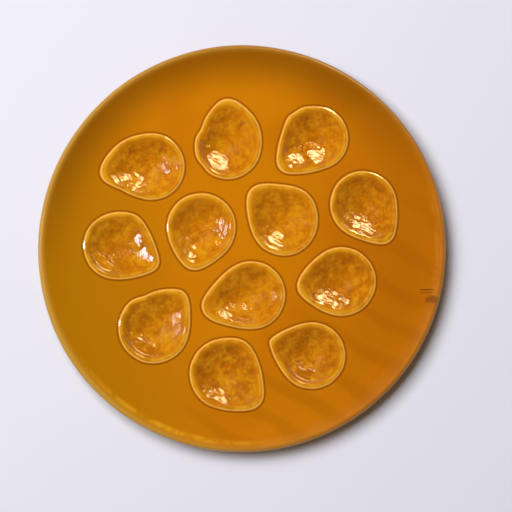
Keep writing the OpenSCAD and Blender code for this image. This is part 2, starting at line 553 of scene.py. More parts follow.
class OysterWell:
    """One well, seen from above: its outline runs along the crest of its bead."""

    ease = 2 * MM
    wander_h = 0.35 * MM
    wander_length = 26 * MM
    wander_apart = 5.7
    trace_points = 720

    def __init__(self, plan: WellPlan, centre: np.ndarray, seed: float) -> None:
        """Draws the outline of the well.

        Args:
            plan: The plan of the well.
            centre: Centre of its round body.
            seed: Sets the unevenness of its outline apart.
        """
        self.centre = centre
        self.facets = plan.facets
        self.edge = self._trace(plan, seed)
        away = self.edge - centre
        reach = np.hypot(away[:, 0], away[:, 1])
        angle = np.arctan2(away[:, 1], away[:, 0])
        order = np.argsort(angle)
        self._angles, self._reaches = angle[order], reach[order]
        self.mean_r = float(reach.mean())

    def _trace(self, plan: WellPlan, seed: float) -> np.ndarray:
        """Draws the outline taut around the round ends, then lets it wander a little as a hand would.

        Args:
            plan: The plan of the well.
            seed: Sets the unevenness apart.

        Returns:
            Points of the outline.
        """
        out_way = ways(turns(self.trace_points))
        side_way = np.column_stack([-out_way[:, 1], out_way[:, 0]])
        spots, radii = [self.centre], [plan.body_r * MM]
        for end in plan.ends:
            spots.append(self.centre + end.reach * MM * way(math.radians(end.direction)))
            radii.append(end.radius * MM)
        reach = np.array([out_way @ spot + radius for spot, radius in zip(spots, radii)])
        furthest = reach.max(axis=0)
        pull = np.exp((reach - furthest) / self.ease)
        out = furthest + self.ease * np.log(pull.sum(axis=0))
        along = sum(p * (side_way @ spot) for p, spot in zip(pull, spots)) / pull.sum(axis=0)
        taut = even_steps(out[:, None] * out_way + along[:, None] * side_way, self.trace_points)
        from_body = taut - self.centre
        angle = np.degrees(np.arctan2(from_body[:, 1], from_body[:, 0]))
        layer = Layer.OUTLINE.value + self.wander_apart * seed
        shift = self.wander_h * waves(from_body, self.wander_length, layer)
        for dent in plan.dents:
            away = (angle - dent.direction + 180) % 360 - 180
            shift = shift - dent.depth * MM * hill(away, 0.0, dent.spread)
        return taut + shift[:, None] * outward(taut)

    def ring(self, count: int) -> tuple[np.ndarray, np.ndarray]:
        """Points at even steps along the outline, and their outward directions."""
        points = even_steps(self.edge, count)
        return points, outward(points)

    def share(self, points: np.ndarray) -> np.ndarray:
        """How far out in the well each place is.

        Args:
            points: The places, of which x and y count.

        Returns:
            0 at the centre of the well to 1 on its outline.
        """
        away = points[:, :2] - self.centre
        angle = np.arctan2(away[:, 1], away[:, 0])
        return np.hypot(away[:, 0], away[:, 1]) / np.interp(angle, self._angles, self._reaches, period=TURN)


@dataclass(frozen=True)
class WellSection:
    """Section of a well on the face: a broad bead with a fine groove outside it and a dimpled bowl inside it."""

    depth: float = 9.8 * MM
    bowl_power: float = 1.35
    bead_h: float = 1.1 * MM
    bead_at: float = -2.6 * MM
    bead_spread: float = 2.4 * MM
    groove_h: float = 0.25 * MM
    groove_at: float = 1.3 * MM
    groove_spread: float = 0.75 * MM
    rounding: float = 0.6 * MM
    dimple_h: float = 0.45 * MM
    dimple_length: float = 9.5 * MM
    pit_h: float = 0.34 * MM
    pit_length: float = 4.6 * MM
    facet_calm: float = 0.8
    lump_share: float = 0.4
    ripple_h: float = 0.06 * MM
    ripple_length: float = 3.9 * MM
    ripple_calm: float = 0.5
    bend: float = 4.0
    bend_length: float = 20 * MM
    patch_length: float = 17 * MM
    patch_from: Span = (-0.25, 0.2)
    facet_stretch: float = 2.2
    facet_edge: Span = (0.75, 1.3)
    facet_ragged: float = 0.5
    ragged_length: float = 8 * MM
    facet_sink: float = 1.4 * MM
    chop_h: float = 0.33 * MM
    chop_length: float = 4.4 * MM
    pool_t: float = 2.0 * MM
    floor_from: Span = (4.0 * MM, 8.0 * MM)
    thin_at: float = -0.5 * MM
    thin_spread: float = 0.62 * MM
    strip: float = 0.45
    strip_from: Span = (-0.2 * MM, 1.2 * MM)
    strip_fade: float = 0.75
    strip_to: Span = (2.8 * MM, 5.6 * MM)
    thick: float = 0.9
    thick_spread: float = 0.8 * MM

    def _sharp(self, out: np.ndarray, mean_r: float) -> np.ndarray:
        """Height of the section before it is rounded.

        Args:
            out: How far outside the crest of the bead each place is.
            mean_r: Mean radius of the well.

        Returns:
            The height at each place.
        """
        share = np.clip(1 + (out - self.bead_at) / (mean_r + self.bead_at), 0.0, 1.0)
        bead = self.bead_h * hill(np.maximum(out, self.bead_at), self.bead_at, self.bead_spread)
        groove = self.groove_h * hill(out, self.groove_at, self.groove_spread)
        return bead - groove - (self.depth + self.bead_h) * (1 - share ** 2) ** self.bowl_power

    def height(self, out: np.ndarray, mean_r: float) -> np.ndarray:
        """Height of the section above the floor of the plate.

        Args:
            out: How far outside the crest of the bead each place is; inside it is negative.
            mean_r: Mean radius of the well.

        Returns:
            The height at each place.
        """
        return softened(lambda place: self._sharp(place, mean_r), out, self.rounding)

    def dimples(self, points: np.ndarray, out: np.ndarray, calm: np.ndarray) -> np.ndarray:
        """Height of the dimples and pits in the floor of a well, and of the fine ripples along its edge.

        Args:
            points: Places in the well.
            out: How far outside the crest of the bead they are.
            calm: How much each place belongs to a facet, which is smoother.

        Returns:
            How far each place stands above a smooth floor.
        """
        dimple = self.dimple_h * waves(points, self.dimple_length, Layer.DIMPLE.value)
        pit = self.pit_h * waves(points, self.pit_length, Layer.PIT.value)
        bend = self.bend * waves(points, self.bend_length, Layer.RIPPLE_BEND.value)
        patchy = eased(waves(points, self.patch_length, Layer.RIPPLE_PATCH.value), *self.patch_from)
        ripple = self.ripple_h * patchy * np.sin(TURN * out / self.ripple_length + bend)
        return (1 - self.facet_calm * calm) * (dimple + pit) + (1 - self.ripple_calm * calm) * ripple

    def level(self, well: OysterWell, points: np.ndarray, height: np.ndarray) -> tuple[np.ndarray, np.ndarray]:
        """Lays the facets of a well into its bowl.

        Args:
            well: The well.
            points: Places in it.
            height: The height of the smooth bowl there.

        Returns:
            The new height, and how much each place belongs to a facet.
        """
        flat, smooth = np.zeros(len(points)), height
        ragged = 1 + self.facet_ragged * waves(points, self.ragged_length, Layer.FACET_EDGE.value)
        for facet in well.facets:
            spot = well.centre + np.array([facet.x, facet.y]) * MM
            ahead = way(math.radians(facet.towards))
            away = points[:, :2] - spot
            up = away @ ahead
            along = away @ np.array([-ahead[1], ahead[0]]) / self.facet_stretch
            core, end = (share * facet.reach * MM for share in self.facet_edge)
            share = 1 - eased(ragged * np.hypot(along, up), core, end)
            middle = self.height((well.share(spot[None]) - 1) * well.mean_r, well.mean_r)[0]
            chop = self.chop_h * waves(np.column_stack([along, up]), self.chop_length, facet.x)
            height = height + share * (middle + math.tan(math.radians(facet.slope)) * up + chop - height)
            flat = np.maximum(flat, share)
        return np.maximum(height, smooth - self.facet_sink), flat

    def marks(self, out: np.ndarray) -> tuple[np.ndarray, np.ndarray]:
        """Where the glaze is thin, where it pools in the groove outside the bead, which also paints the groove's
        shade, and where the dimpled floor is.

        Args:
            out: How far outside the crest of the bead each place is.

        Returns:
            The pooling, from -1 for thin to 1 for thick, and the share of the floor.
        """
        thin = hill(out, self.thin_at, self.thin_spread)
        strip = self.strip * eased(-out, *self.strip_from) * (1 - self.strip_fade * eased(-out, *self.strip_to))
        # The groove's dark line is pooled glaze and painted shade of the groove together.
        thick = self.thick * hill(out, self.groove_at, self.thick_spread)
        return thick - thin - strip, eased(-out, *self.floor_from)


@dataclass(frozen=True)
class LipShadeAndSheen:
    """Painted light on the rim, given as glaze marks: painted shade, as darker pooled glaze, on the roll of the lip
    on one side, and painted reflection, as paler thin glaze, in a ring inside it.
    """

    thick: float = 0.5
    shade_at: float = math.radians(290)
    thick_spread: float = math.radians(42)
    roll: Span = (6.6 * MM, 3.6 * MM)
    thin: float = 0.5
    sheen_low_at: float = math.radians(250)
    sheen_low_spread: float = math.radians(32)
    sheen_right_share: float = 0.4
    sheen_right_spread: float = math.radians(30)
    sheen_inset: float = 8.3 * MM
    sheen_spread: float = 2.6 * MM

    def pooling(self, radius: np.ndarray, plate_r: float) -> np.ndarray:
        """Painted shade and painted reflection on the rim, given as how thick the glaze lies.

        Args:
            radius: Radii of the rings of the rim's face.
            plate_r: Radius of the plate.

        Returns:
            The marks on each ring, all the way round: above 0 for painted shade, below 0 for painted reflection.
        """
        turn = turns(RIM_POINTS)
        # Painted reflection: paler thin glaze in a ring near the edge, at the bottom and less at the right.
        thin = hill(aside(turn, self.sheen_low_at), 0.0, self.sheen_low_spread)
        thin = thin + self.sheen_right_share * hill(aside(turn, 0.0), 0.0, self.sheen_right_spread)
        # Painted shade: darker pooled glaze on the roll of the lip at the lower right.
        thick = hill(aside(turn, self.shade_at), 0.0, self.thick_spread)
        sheen_ring = hill(radius, plate_r - self.sheen_inset, self.sheen_spread)
        roll = eased(radius, *(plate_r - inset for inset in self.roll))
        return self.thick * np.outer(roll, thick) - self.thin * np.outer(sheen_ring, thin)


@dataclass(frozen=True)
class Grain:
    """How finely a sheet of the plate is meshed; the levels are mm outside the crest of a bead."""

    well_points: int
    well_levels: tuple[float, ...]
    floor_step: float
    ground_step: float
    rise_steps: int
    lip_steps: int


FINE = Grain(
    well_points=144,
    well_levels=(3.9, 3.2, 2.6, 2.2, 1.85, 1.5, 1.2, 0.9, 0.6, 0.3, 0.0, -0.3, -0.6, -0.9, -1.25, -1.6, -2.0, -2.5,
                 -3.1, -3.8, -4.7, -5.8, -7.0),
    floor_step=0.98 * MM, ground_step=2.6 * MM, rise_steps=14, lip_steps=14,
)
PLAIN = Grain(
    well_points=48, well_levels=(3.9, 2.6, 1.5, 0.7, 0.0, -0.9, -1.8, -3.0, -4.6, -7.0),
    floor_step=5.0 * MM, ground_step=9.0 * MM, rise_steps=6, lip_steps=6,
)


@dataclass
class MeshDraft:
    """A mesh while it is being put together: points with their marks, and faces."""

    points: list[np.ndarray] = field(default_factory=list)
    marks: list[np.ndarray] = field(default_factory=list)
    faces: list[tuple[int, ...]] = field(default_factory=list)
    count: int = 0

    def add(self, points: np.ndarray, pool: Any = 0.0, floor: Any = 0.0, lump: Any = 0.0) -> np.ndarray:
        """Adds points.

        Args:
            points: The points, one row each.
            pool: How thick the glaze lies, -1 to 1, for all of them or each. On the rim and in the grooves it also
                carries painted shade and painted reflection.
            floor: How much they belong to the floor of a well, for all of them or each.
            lump: How far they stand on a lump, -1 to 1, for all of them or each.

        Returns:
            The numbers of the new points.
        """
        total = len(points)
        numbers = np.arange(self.count, self.count + total)
        self.points.append(np.asarray(points, dtype=float))
        self.marks.append(np.column_stack([np.broadcast_to(mark, total) for mark in (pool, floor, lump)]))
        self.count += total
        return numbers

    def bridge(self, first: np.ndarray, second: np.ndarray) -> None:
        """Joins two closed rings of points; between level rings the faces look up if the second is the outer one.

        Args:
            first: Numbers of the first ring's points.
            second: Numbers of the second ring's points, as many as in the first.
        """
        for i in range(len(first)):
            j = (i + 1) % len(first)
            self.faces.append((int(first[i]), int(second[i]), int(second[j]), int(first[j])))

    def turned(self, profile: np.ndarray, hand: HandThrown, section: PlateSection,
               pool: Any = 0.0) -> list[np.ndarray]:
        """Turns a profile into rings and joins them in order.

        Args:
            profile: Points of the profile, as radius and height.
            hand: The unevenness of the rim.
            section: The plate's section.
            pool: How thick the glaze lies, for all rings or for each point of each ring. On the rim it carries
                painted shade and painted reflection.

        Returns:
            The rings, in the order of the profile.
        """
        out_way = ways(turns(RIM_POINTS))
        thick = np.broadcast_to(pool, (len(profile), RIM_POINTS))
        rings = []
        for (radius, height), lay in zip(profile, thick):
            ring = np.column_stack([radius * out_way, np.full(RIM_POINTS, height)])
            rings.append(self.add(hand.edge(ring, section), lay))
        for first, second in zip(rings, rings[1:]):
            self.bridge(first, second)
        return rings

    def fill(self, loops: Sequence[np.ndarray], inner: np.ndarray, holes: Sequence[np.ndarray],
             down: bool = False) -> None:
        """Fills the flat space inside the first loop and outside the holes with triangles.

        Args:
            loops: Closed rings of point numbers that the triangles keep to.
            inner: Numbers of the loose points inside.
            holes: Outlines of the holes, as points.
            down: True if the faces look down.
        """
        numbers = np.concatenate([*loops, inner]).astype(int)
        flat = np.vstack(self.points)[numbers][:, :2]
        edges, start = [], 0
        for loop in loops:
            size = len(loop)
            edges += [(start + i, start + (i + 1) % size) for i in range(size)]
            start += size
        found = delaunay_2d_cdt([Vector(p) for p in flat], edges, [], 0, 1e-9)
        source = [ids[0] for ids in found[3]]
        corners = np.array([[source[k] for k in face] for face in found[2]])
        middles = flat[corners].mean(axis=1)
        keep = np.ones(len(corners), dtype=bool)
        for hole in holes:
            keep &= ~inside(middles, hole)
        a, b, c = (flat[corners[:, k]] for k in range(3))
        area = (b[:, 0] - a[:, 0]) * (c[:, 1] - a[:, 1]) - (b[:, 1] - a[:, 1]) * (c[:, 0] - a[:, 0])
        for triangle, size in zip(corners[keep], area[keep]):
            ordered = triangle if (size > 0) != down else triangle[::-1]
            self.faces.append(tuple(int(numbers[k]) for k in ordered))

    def flip(self, start: int) -> None:
        """Turns over all faces from a place in the list on."""
        self.faces[start:] = [face[::-1] for face in self.faces[start:]]

    def piece(self, name: str) -> bpy.types.Object:
        """Makes the finished piece.

        Args:
            name: Name of the piece.

        Returns:
            The new object, smooth all over.
        """
        mesh = bpy.data.meshes.new(name)
        mesh.from_pydata(np.vstack(self.points).tolist(), [], self.faces)
        marks = np.vstack(self.marks)
        for column, mark in enumerate(Mark):
            layer = mesh.attributes.new(mark.value, "FLOAT", "POINT")
            layer.data.foreach_set("value", np.ascontiguousarray(marks[:, column], dtype=np.float32))
        mesh.shade_smooth()
        mesh.update()
        made = bpy.data.objects.new(name, mesh)
        bpy.context.scene.collection.objects.link(made)
        return made


@dataclass
class PlateForm:
    """The surfaces of the plate, from which the clay and the coats of glaze are made."""

    section: PlateSection
    wells: list[OysterWell]
    well: WellSection = WellSection()
    hand: HandThrown = HandThrown()
    # Painted shade and painted reflection on the rim, given as glaze marks.
    lip: LipShadeAndSheen = LipShadeAndSheen()
    floor_gap: float = 0.55
    ground_gap: float = 0.6
    bulge_points: int = 72
    bulge_shares: tuple[float, ...] = (1.06, 1.045, 1.03, 1.01, 0.97, 0.92, 0.86, 0.78, 0.68, 0.56, 0.42, 0.26, 0.1)
    bulge_root: float = 1.02
    bulge_power: float = 4.5
    bulge_rounding: float = 0.02
    bulge_gap: float = 0.1
    under_step: float = 8 * MM
    under_gap: float = 4 * MM

    def _well_face(self, draft: MeshDraft, well: OysterWell, depth: float, grain: Grain) -> np.ndarray:
        """Adds the bead, wall and floor of a well.

        Args:
            draft: The mesh.
            well: The well.
            depth: How far under the glazed surface.
            grain: How finely it is meshed.

        Returns:
            The ring outside the bead that the ground joins.
        """
        edge, normal = well.ring(grain.well_points)
        rings = []
        for out in (level * MM for level in grain.well_levels):
            if out >= 0:
                flat = edge + out * normal
            else:
                flat = well.centre + (1 + out / well.mean_r) * (edge - well.centre)
            rings.append(self._well_points(draft, well, flat, np.full(len(flat), out), depth))
        for outside, inwards in zip(rings, rings[1:]):
            draft.bridge(inwards, outside)
        reach = well.edge - well.centre
        loose = grid(well.centre + reach.min(axis=0), well.centre + reach.max(axis=0), grain.floor_step)
        share = well.share(loose)
        kept = share < 1 + (grain.well_levels[-1] * MM - self.floor_gap * grain.floor_step) / well.mean_r
        numbers = self._well_points(draft, well, loose[kept], (share[kept] - 1) * well.mean_r, depth)
        draft.fill([rings[-1]], numbers, [])
        return rings[0]

    def _well_points(self, draft: MeshDraft, well: OysterWell, flat: np.ndarray, out: np.ndarray,
                     depth: float) -> np.ndarray:
        """Adds points of a well at their heights: with its dimples on the face that shows, else deep under it.

        Args:
            draft: The mesh.
            well: The well.
            flat: The points, seen from above.
            out: How far outside the crest of the bead they are.
            depth: How far under the glazed surface.

        Returns:
            The numbers of the new points.
        """
        pool, floor = self.well.marks(out)
        bowl = self.well.height(out, well.mean_r)
        level, calm = self.well.level(well, flat, bowl)
        height = self.section.floor_z - depth + bowl + floor * (level - bowl)
        if depth > 0:
            return draft.add(np.column_stack([flat, height - self.well.pool_t * floor]), pool, floor)
        dimples = floor * self.well.dimples(flat, out, calm)
        height = height + dimples + self.hand.floor(flat, self.section)
        lump = np.clip(dimples / (self.well.lump_share * self.well.dimple_h), -1.0, 1.0)
        return draft.add(np.column_stack([flat, height]), pool, floor, lump)

    def _ground(self, reach: float, inset: float, step: float, holes: Iterable[np.ndarray]) -> np.ndarray:
        """Loose points of a flat ground between the wells.

        Args:
            reach: Radius of the ground.
            inset: How far the points stay inside it.
            step: Distance between neighbours.
            holes: Outlines that the points stay out of.

        Returns:
            The points, seen from above.
        """
        loose = grid((-reach, -reach), (reach, reach), step)
        loose = loose[np.hypot(loose[:, 0], loose[:, 1]) < reach - inset]
        clear = np.ones(len(loose), dtype=bool)
        for hole in holes:
            clear &= ~inside(loose, hole)
        return loose[clear]

    def face(self, draft: MeshDraft, depth: float, grain: Grain) -> np.ndarray:
        """Adds the whole face of the plate, looking up.

        Args:
            draft: The mesh.
            depth: How far under the glazed surface.
            grain: How finely it is meshed.

        Returns:
            The ring at the seam on the lip.
        """
        section, gap = self.section, self.ground_gap * grain.ground_step
        mouths = [self._well_face(draft, well, depth, grain) for well in self.wells]
        rise = section.rim_face(depth, grain.rise_steps, grain.lip_steps)
        # The rim's rings carry the painted shade and painted reflection of the lip as glaze marks.
        rings = draft.turned(rise, self.hand, section, self.lip.pooling(rise[:, 0], section.plate_r))
        points = np.vstack(draft.points)
        outlines = [points[mouth][:, :2] for mouth in mouths]
        grown = (well.centre + (1 + gap / well.mean_r) * (outline - well.centre)
                 for well, outline in zip(self.wells, outlines))
        flat = self._ground(section.floor_r, gap, grain.ground_step, grown)
        height = np.full(len(flat), section.floor_z - depth)
        if depth == 0:
            height = height + self.hand.floor(flat, section)
        ground = draft.add(np.column_stack([flat, height]))
        draft.fill([rings[0], *mouths], ground, outlines)
        return rings[-1]

    def _bulge(self, share: float) -> float:
        """How far a bulge has risen to the underside of the floor, 0 at its lowest and 1 at its root."""
        return softened(lambda at: min((abs(at) / self.bulge_root) ** self.bulge_power, 1.0), share,
                        self.bulge_rounding)

    def underside(self, draft: MeshDraft, depth: float, edge: np.ndarray) -> None:
        """Adds the underside of the floor with the bulges of the wells, looking down.

        Args:
            draft: The mesh.
            depth: How far under the glazed surface.
            edge: The ring that it joins at the foot ring.
        """
        section = self.section
        mouths = []
        for well in self.wells:
            outline, normal = well.ring(self.bulge_points)
            outline = outline - depth * normal
            rings = []
            for share in self.bulge_shares:
                flat = well.centre + share * (outline - well.centre)
                height = section.foot_clear + depth + self._bulge(share) * (section.under_z - section.foot_clear)
                rings.append(draft.add(np.column_stack([flat, np.full(len(flat), height)])))
            for first, second in zip(rings, rings[1:]):
                draft.bridge(first, second)
            draft.fill([rings[-1]], np.empty(0), [], down=True)
            mouths.append(rings[0])
        points = np.vstack(draft.points)
        outlines = [points[mouth][:, :2] for mouth in mouths]
        grown = (well.centre + (1 + self.bulge_gap) * (outline - well.centre)
                 for well, outline in zip(self.wells, outlines))
        flat = self._ground(np.hypot(*points[edge[0]][:2]), self.under_gap, self.under_step, grown)
        ground = draft.add(np.column_stack([flat, np.full(len(flat), section.under_z + depth)]))
        draft.fill([edge, *mouths], ground, outlines, down=True)


class Value:
    """A value in a shader. Operators on it add Math nodes."""

    def __init__(self, tree: ShaderTree, socket: bpy.types.NodeSocket) -> None:
        """Wraps an output socket of a shader's tree."""
        self.tree = tree
        self.socket = socket

    def _math(self, operation: str, first: Term, second: Term) -> Value:
        """Adds a Math node on two terms."""
        return self.tree.node("ShaderNodeMath", {"operation": operation}, {0: first, 1: second})

    def __add__(self, other: Term) -> Value:
        """Sum."""
        return self._math("ADD", self, other)

    def __radd__(self, other: Term) -> Value:
        """Sum with a number first."""
        return self._math("ADD", other, self)

    def __sub__(self, other: Term) -> Value:
        """Difference."""
        return self._math("SUBTRACT", self, other)

    def __rsub__(self, other: Term) -> Value:
        """Difference from a number."""
        return self._math("SUBTRACT", other, self)

    def __mul__(self, other: Term) -> Value:
        """Product."""
        return self._math("MULTIPLY", self, other)

    def __rmul__(self, other: Term) -> Value:
        """Product with a number first."""
        return self._math("MULTIPLY", other, self)

    def __truediv__(self, other: Term) -> Value:
        """Quotient."""
        return self._math("DIVIDE", self, other)

    def __rtruediv__(self, other: Term) -> Value:
        """Quotient of a number."""
        return self._math("DIVIDE", other, self)

    def eased(self, start: float, end: float) -> Value:
        """Passes smoothly from 0 at start to 1 at end."""
        return self.tree.node("ShaderNodeMapRange", {"interpolation_type": "SMOOTHSTEP"},
                              {"Value": self, "From Min": start, "From Max": end})

    def wave(self) -> Value:
        """Sine of the value, in radians."""
        return self.tree.node("ShaderNodeMath", {"operation": "SINE"}, {0: self})


Term = Union[Value, float]


class ShaderTree:
    """The nodes of one material or world."""

    def __init__(self, owner: Union[bpy.types.Material, bpy.types.World]) -> None:
        """Clears the nodes.

        Args:
            owner: The material or world that they belong to.
        """
        owner.use_nodes = True
        self.owner = owner
        self.tree = owner.node_tree
        self.tree.nodes.clear()

    def node(self, kind: str, settings: dict[str, Any] | None = None, sockets: dict[Any, Any] | None = None,
             output: Any = 0) -> Value:
        """Adds a node.

        Args:
            kind: Type of the node.
            settings: Its settings, which are set first.
            sockets: Values or links of its input sockets.
            output: Name or number of the output that is wanted.

        Returns:
            The wanted output.
        """
        made = self.tree.nodes.new(kind)
        for name, setting in (settings or {}).items():
            setattr(made, name, setting)
        for name, value in (sockets or {}).items():
            socket = made.inputs[name]
            if isinstance(value, Value):
                self.tree.links.new(value.socket, socket)
            else:
                socket.default_value = value
        return Value(self, made.outputs[output] if made.outputs else None)

    def place(self) -> tuple[Value, Value, Value]:
        """Where a point of the piece lies.

        Returns:
            Its place as a vector, its x and its y.
        """
        spot = self.node("ShaderNodeTexCoord", output="Object")
        x, y = (self.node("ShaderNodeSeparateXYZ", {}, {"Vector": spot}, axis) for axis in "XY")
        return spot, x, y

    def mark(self, mark: Mark) -> Value:
        """Reads a mark of the vertices."""
        return self.node("ShaderNodeAttribute", {"attribute_name": mark.value}, output="Fac")

    def bump(self, height: Value, depth: float, strength: float) -> Value:
        """Normals of a fine relief of a depth and a strength."""
        return self.node("ShaderNodeBump", {}, {"Strength": strength, "Distance": depth, "Height": height})

    def mix(self, share: Term, first: Any, second: Any) -> Value:
        """Mixes two colours by the share of the second."""
        return self.node("ShaderNodeMix", {"data_type": "RGBA"}, {0: share, 6: first, 7: second}, output=2)

    def grain(self, place: Value, length: float, detail: float, layer: float) -> Value:
        """Cloudy noise, about 0 to 1.

        Args:
            place: Where to read it.
            length: Rough distance from patch to patch.
            detail: How much finer noise is laid over it.
            layer: Sets one noise apart from another.

        Returns:
            The noise.
        """
        sockets = {"Vector": place, "W": layer, "Scale": 1 / length, "Detail": detail, "Roughness": 0.55}
        return self.node("ShaderNodeTexNoise", {"noise_dimensions": "4D"}, sockets, "Fac")

    def washed(self, colour: Any, washes: Iterable[Wash]) -> Any:
        """Lays washes over a colour, one after another.

        Args:
            colour: The colour under them.
            washes: The washes in order.

        Returns:
            The colour with all of them.
        """
        for wash in washes:
            colour = self.mix(wash.share * wash.follows.eased(wash.start, wash.end), colour, paint(wash.tint))
        return colour

    def surface(self, sockets: dict[str, Any]) -> bpy.types.Material:
        """Ends the tree in a Principled shader.

        Args:
            sockets: Values or links of the shader's sockets.

        Returns:
            The finished material.
        """
        shader = self.node("ShaderNodeBsdfPrincipled", {}, sockets)
        self.node("ShaderNodeOutputMaterial", {}, {"Surface": shader})
        return self.owner


@dataclass(frozen=True)
class Wash:
    """A wash of colour: its tint, its share, and between which values of what it follows it comes in."""

    tint: Tint
    share: Term
    follows: Value
    start: float
    end: float


@dataclass(frozen=True)
class GlazeFlaw:
    """A small flaw of the glaze near the rim: two short scratches and a brown smudge."""

    scratch_x: Span = (160.5 * MM, 174.5 * MM)
    scratch_y: Span = (-37.6 * MM, -40.2 * MM)
    scratch_w: float = 0.7 * MM
    scratch_shares: Span = (0.9, 0.6)
    taper: float = 2 * MM
    smudge: Span = (172.5 * MM, -46.5 * MM)
    smudge_r: Span = (8.0 * MM, 4.6 * MM)
    smudge_share: float = 0.65
    smudge_broken: float = 1.2
    scratch_edge: Span = (1.0, 0.1)
    smudge_edge: Span = (1.5, 0.6)
    brown: Tint = (92, 48, 8)

    def washes(self, x: Value, y: Value, patchy: Value) -> list[Wash]:
        """The washes that draw the flaw.

        Args:
            x: Place along X.
            y: Place along Y.
            patchy: Noise that breaks the smudge up.

        Returns:
            A wash for each scratch and one for the smudge.
        """
        left, right = self.scratch_x
        along = x.eased(left, left + self.taper) * x.eased(right, right - self.taper)
        drawn = []
        for line, share in zip(self.scratch_y, self.scratch_shares):
            off = (y - line) / self.scratch_w
            drawn.append(Wash(self.brown, share * along, off * off, *self.scratch_edge))
        across, up = ((axis - at) / reach for axis, at, reach in zip((x, y), self.smudge, self.smudge_r))
        spot = across * across + up * up + self.smudge_broken * patchy
        return [*drawn, Wash(self.brown, self.smudge_share, spot, *self.smudge_edge)]


@dataclass(frozen=True)
class HoneyGlaze:
    """A glossy honey glaze that is paler where it is thin, darker where it pools, and mottled in the wells.

    Part of its colour is painted light: painted shade on the top of the rim, painted reflection in soft bands on the
    lower right and on the left of the lip, and painted shade and reflection from the rim's glaze marks. The rim and
    the lip are given as squares of radii.
    """

    name: str = "honey_glaze"
    amber: Tint = (206, 125, 4)
    amber_deep: Tint = (198, 116, 2)
    olive: Tint = (178, 116, 2)
    # This brown is also the painted shade on the top of the rim.
    brown: Tint = (140, 83, 2)
    russet: Tint = (182, 101, 2)
    ochre: Tint = (220, 153, 26)
    thin: Tint = (250, 188, 92)
    pooled_and_shade: Tint = (142, 76, 4)
    floor_pale: Tint = (228, 162, 18)
    floor_dark: Tint = (146, 82, 0)
    fleck: Tint = (218, 122, 10)
    painted_reflection: Tint = (160, 86, 0)
    # The paler lip: partly glaze thinned on the edge, partly painted reflection.
    lip: Tint = (200, 154, 62)
    gloss: float = 0.06
    grains: tuple[Span, ...] = ((90 * MM, 2.0), (16 * MM, 3.0), (9 * MM, 2.0), (3.6 * MM, 2.0))
    sway: float = 0.06
    top_shade_from: Span = (0.0175, 0.0318)
    lip_from: Span = (0.0315, 0.0338)
    reflection_length: float = 33 * MM
    reflection_way: Span = (0.57, 0.82)
    reflection_bend: float = 9.0
    reflection_from: Span = (0.05, 0.18)
    lip_sheen_lean: float = -0.15
    lip_sheen_side: Span = (-0.12, 0.16)
    ior: float = 1.6
    relief_h: float = 0.4 * MM
    flaw: Union[GlazeFlaw, None] = None

    def material(self) -> bpy.types.Material:
        """Makes the material.

        Returns:
            The new material.
        """
        tree = ShaderTree(bpy.data.materials.new(self.name))
        place, x, y = tree.place()
        pool, floor, lump = (tree.mark(mark) for mark in Mark)
        broad, cloud, patch, speck = (tree.grain(place, length, detail, float(layer))
                                      for layer, (length, detail) in enumerate(self.grains, 1))
        sway = self.sway * broad
        reach = x * x + y * y
        # The rim mask is where the top of the plate gets painted shade; the lip mask is the lip itself.
        rim, lip = reach.eased(*self.top_shade_from), reach.eased(*self.lip_from)
        # Painted reflection: soft darker bands over the lower right of the plate, as of the room mirrored in the
        # glaze.
        reflection_wave = (self.reflection_way[0] * x + self.reflection_way[1] * y) * (TURN / self.reflection_length)
        reflection_wave = reflection_wave + self.reflection_bend * broad
        low_right = (x - y).eased(*self.reflection_from)
        # Painted reflection: the lip is much paler on the left.
        left = (self.lip_sheen_lean * y - x).eased(*self.lip_sheen_side)
        washes = [
            Wash(self.amber_deep, 1.0, broad, 0.38, 0.66),
            Wash(self.amber_deep, 0.3, cloud, 0.5, 0.72),
            Wash(self.russet, 0.75, x + sway, 0.05, 0.19),
            Wash(self.russet, 0.3, y + sway, -0.06, -0.19),
            Wash(self.russet, 0.6 * floor, y + sway, 0.0, -0.1),
            Wash(self.olive, 1 - 0.6 * floor, x + 0.2 * y + sway, 0.0, -0.14),
            # Painted shade: browner and darker over the top of the rim.
            Wash(self.brown, 0.82 * rim, y - 0.22 * x + sway, -0.01, 0.19),
            # Painted reflection in soft bands on the lower right.
            Wash(self.painted_reflection, 0.27 * low_right, reflection_wave.wave(), -0.2, 1.0),
            Wash(self.floor_pale, 0.5 * floor, patch, 0.48, 0.66),
            Wash(self.floor_dark, 0.3 * floor, patch, 0.5, 0.34),
            Wash(self.floor_pale, 0.25 * floor, lump, 0.1, 0.9),
            Wash(self.floor_dark, 0.2 * floor, lump, 0.1, -0.9),
            Wash(self.fleck, 0.3 * floor, speck, 0.54, 0.66),
            Wash(self.floor_dark, 0.25 * floor, speck, 0.46, 0.36),
            # Darker where the pool mark is above 0: glaze pooled in the grooves, which also paints their shade, and
            # painted shade on the lip's roll.
            Wash(self.pooled_and_shade, 0.95, pool, 0.05, 1.0),
            # Ochre where the glaze thins inside each bead; on the rim the same washes draw the ring of painted
            # reflection.
            Wash(self.ochre, 0.2 + 0.8 * patch.eased(0.36, 0.6), pool, -0.05, -0.45),
            Wash(self.thin, 0.85, pool, -0.45, -1.0),
            # The lip is paler all round, where the glaze thins on the edge, and much paler on the left as painted
            # reflection.
            Wash(self.lip, 0.2 + 0.6 * left, reach, *self.lip_from),
        ]
        if self.flaw:
            washes += self.flaw.washes(x, y, speck)
        relief = 0.1 * cloud + floor * (0.3 * patch + 0.5 * speck)
        return tree.surface({
            "Base Color": tree.washed(paint(self.amber), washes),
            "Roughness": self.gloss + 0.04 * cloud + 0.02 * speck + 0.07 * floor + 0.25 * lip,
            "IOR": self.ior,
            "Normal": tree.bump(relief, self.relief_h, 0.3),
        })


